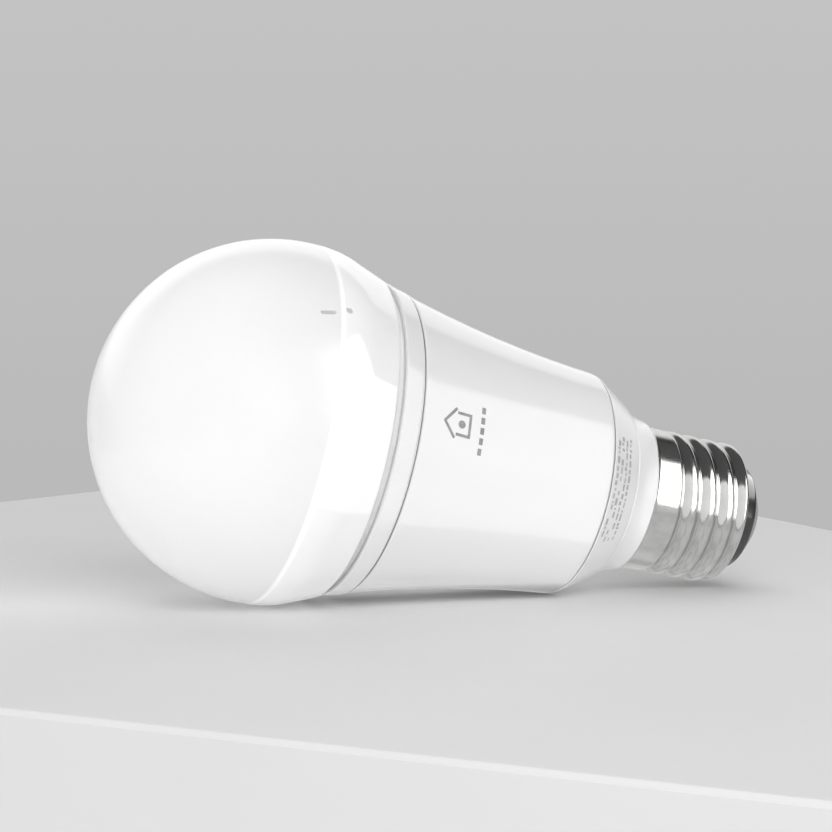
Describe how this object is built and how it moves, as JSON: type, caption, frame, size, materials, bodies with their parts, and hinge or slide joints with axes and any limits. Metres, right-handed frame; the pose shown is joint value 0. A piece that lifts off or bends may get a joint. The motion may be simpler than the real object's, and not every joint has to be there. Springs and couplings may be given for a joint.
{
  "type": "smart light bulb",
  "caption": "Smart LED light bulb: matte dome on a glossy rear globe, trim ring, flared white housing, sloped rear cover and a threaded metal screw cap.",
  "frame": {"origin": "centre of the flat face of the centre contact, at the very end of the screw cap", "axes": "+Z along the lamp's axis, from the cap towards the dome (up in a table lamp); -Y is the side with the moulded marks and the printed emblem; +X completes the frame"},
  "size_m": [0.0636, 0.0636, 0.1265],
  "materials": {
    "dome_polycarbonate": "satin white diffuser",
    "globe_polycarbonate": "glossy white diffuser",
    "trim_white": "glossy white",
    "seal_grey": "matt grey",
    "housing_white": "glossy white",
    "cover_white": "semi-gloss white",
    "sink_aluminium": "plain die cast",
    "cup_plastic": "plain moulded",
    "shell_nickel": "bright nickel plate",
    "insulator_black": "glossy black",
    "contact_tin": "tinned",
    "thermal_grey": "soft grey sheet",
    "board_white": "white solder mask on aluminium",
    "reflector_white": "white reflective film",
    "emitter_yellow": "phosphor under silicone",
    "emitter_clear": "clear silicone",
    "screw_steel": "zinc plated",
    "board_green": "green solder mask",
    "ferrite_dark": "sintered ferrite",
    "winding_tape": "yellow polyester tape",
    "capacitor_sleeve": "shrink sleeve",
    "choke_sleeve": "shrink sleeve",
    "resistor_coat": "cement coat",
    "film_red": "epoxy box",
    "chip_black": "moulded epoxy",
    "pin_gold": "gold flash",
    "shield_steel": "tinned sheet",
    "live_black": "wire insulation",
    "neutral_white": "wire insulation"
  },
  "bodies": {
    "root": {"dome_diffuser": "dome_polycarbonate", "rear_globe": "globe_polycarbonate", "trim_ring": "trim_white", "globe_gasket": "seal_grey", "housing": "housing_white", "rear_cover": "cover_white", "neck_collar": "cover_white", "heat_sink": "sink_aluminium", "driver_cup": "cup_plastic", "screw_shell": "shell_nickel", "base_insulator": "insulator_black", "centre_contact": "contact_tin", "thermal_pad": "thermal_grey", "led_board": "board_white", "reflector_sheet": "reflector_white", "white_emitters": "emitter_yellow", "colour_emitters": "emitter_clear", "board_screws": "screw_steel", "driver_board": "board_green", "radio_board": "board_green", "transformer_core": "ferrite_dark", "transformer_winding": "winding_tape", "bulk_capacitor": "capacitor_sleeve", "filter_choke": "choke_sleeve", "fuse_resistor": "resistor_coat", "film_capacitor": "film_red", "bridge_rectifier": "chip_black", "driver_chip": "chip_black", "dimming_chip": "chip_black", "board_header": "chip_black", "header_pins": "pin_gold", "antenna": "pin_gold", "radio_shield": "shield_steel", "live_wire": "live_black", "neutral_wire": "neutral_white"}
  },
  "joints": []
}
